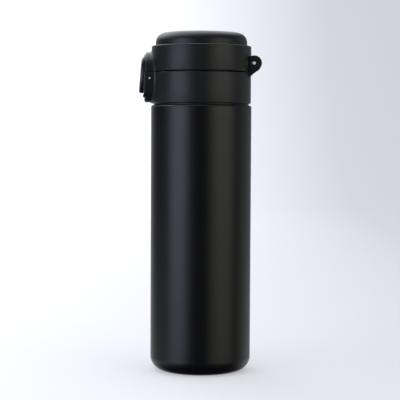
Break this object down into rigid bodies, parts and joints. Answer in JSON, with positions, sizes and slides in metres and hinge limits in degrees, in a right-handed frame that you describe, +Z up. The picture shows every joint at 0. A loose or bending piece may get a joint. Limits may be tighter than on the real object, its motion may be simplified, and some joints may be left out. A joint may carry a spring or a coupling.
{
  "type": "vacuum flask",
  "caption": "Slim double-walled steel vacuum flask with a screw-on cap, a hinged flip lid, a push button latch and a lock bail.",
  "frame": {"origin": "centre of the foot, on the surface that the flask stands on", "axes": "+Z up along the bottle, +X towards the lid's hinge, -X towards the push button"},
  "size_m": [0.0803, 0.066, 0.2229],
  "materials": {
    "body_coating": "satin black powder coat on stainless steel",
    "lid_plastic": "fine matte moulded polypropylene, near black",
    "button_plastic": "satin moulded plastic, near black",
    "brushed_steel": "turned stainless steel with fine rings",
    "pin_steel": "polished stainless steel",
    "spring_steel": "drawn wire",
    "copper_foil": "bright copper foil",
    "seal_silicone": "translucent grey silicone",
    "spout_plastic": "smooth dark polypropylene",
    "foot_rubber": "matte black",
    "solder_glass": "dark sealing glass",
    "getter_metal": "sintered metal"
  },
  "bodies": {
    "flask": {"outer_shell": "body_coating", "inner_vessel": "brushed_steel", "shell_bottom": "brushed_steel", "base_cap": "foot_rubber", "vacuum_seal": "solder_glass", "getter": "getter_metal", "radiation_shield": "copper_foil"},
    "seal_ring": {"neck_gasket": "seal_silicone"},
    "cap": {"collar": "lid_plastic", "thread_ring": "spout_plastic", "spout": "spout_plastic", "hinge_pin": "pin_steel", "hinge_spring": "spring_steel", "button_pin": "pin_steel", "button_spring": "spring_steel", "lock_pin": "spring_steel"},
    "cover": {"cover_shell": "lid_plastic", "cover_dome": "lid_plastic", "cover_liner": "lid_plastic", "cover_seal": "seal_silicone", "cover_screw_1": "pin_steel", "cover_screw_2": "pin_steel", "cover_screw_3": "pin_steel", "cover_screw_4": "pin_steel"},
    "button": {"button": "button_plastic"},
    "lock": {"lock_bail": "button_plastic"}
  },
  "joints": [
    {"name": "cap_lift", "type": "slide", "parent": "flask", "child": "seal_ring", "axis": [0, 0, 1], "range_m": [0, 0.008]},
    {"name": "cap_turn", "type": "hinge", "parent": "seal_ring", "child": "cap", "pos_m": [0, 0, 0.186], "axis": [0, 0, 1], "range_deg": [0, 720]},
    {"name": "lid_hinge", "type": "hinge", "parent": "cap", "child": "cover", "pos_m": [0.0343, 0, 0.2022], "axis": [0, 1, 0], "range_deg": [0, 150], "deforming": ["hinge_spring"]},
    {"name": "button_press", "type": "hinge", "parent": "cap", "child": "button", "pos_m": [-0.0336, 0, 0.1921], "axis": [0, -1, 0], "range_deg": [0, 8], "stiffness_Nm_per_rad": 0.4, "springref_deg": -3.44, "deforming": ["button_spring"]},
    {"name": "lock_swing", "type": "hinge", "parent": "cap", "child": "lock", "pos_m": [-0.037, 0, 0.1806], "axis": [0, -1, 0], "range_deg": [0, 80]}
  ],
  "couplings": [
    {"joint": "cap_lift", "follows": "cap_turn", "m_per_rad": 0.00063662}
  ]
}
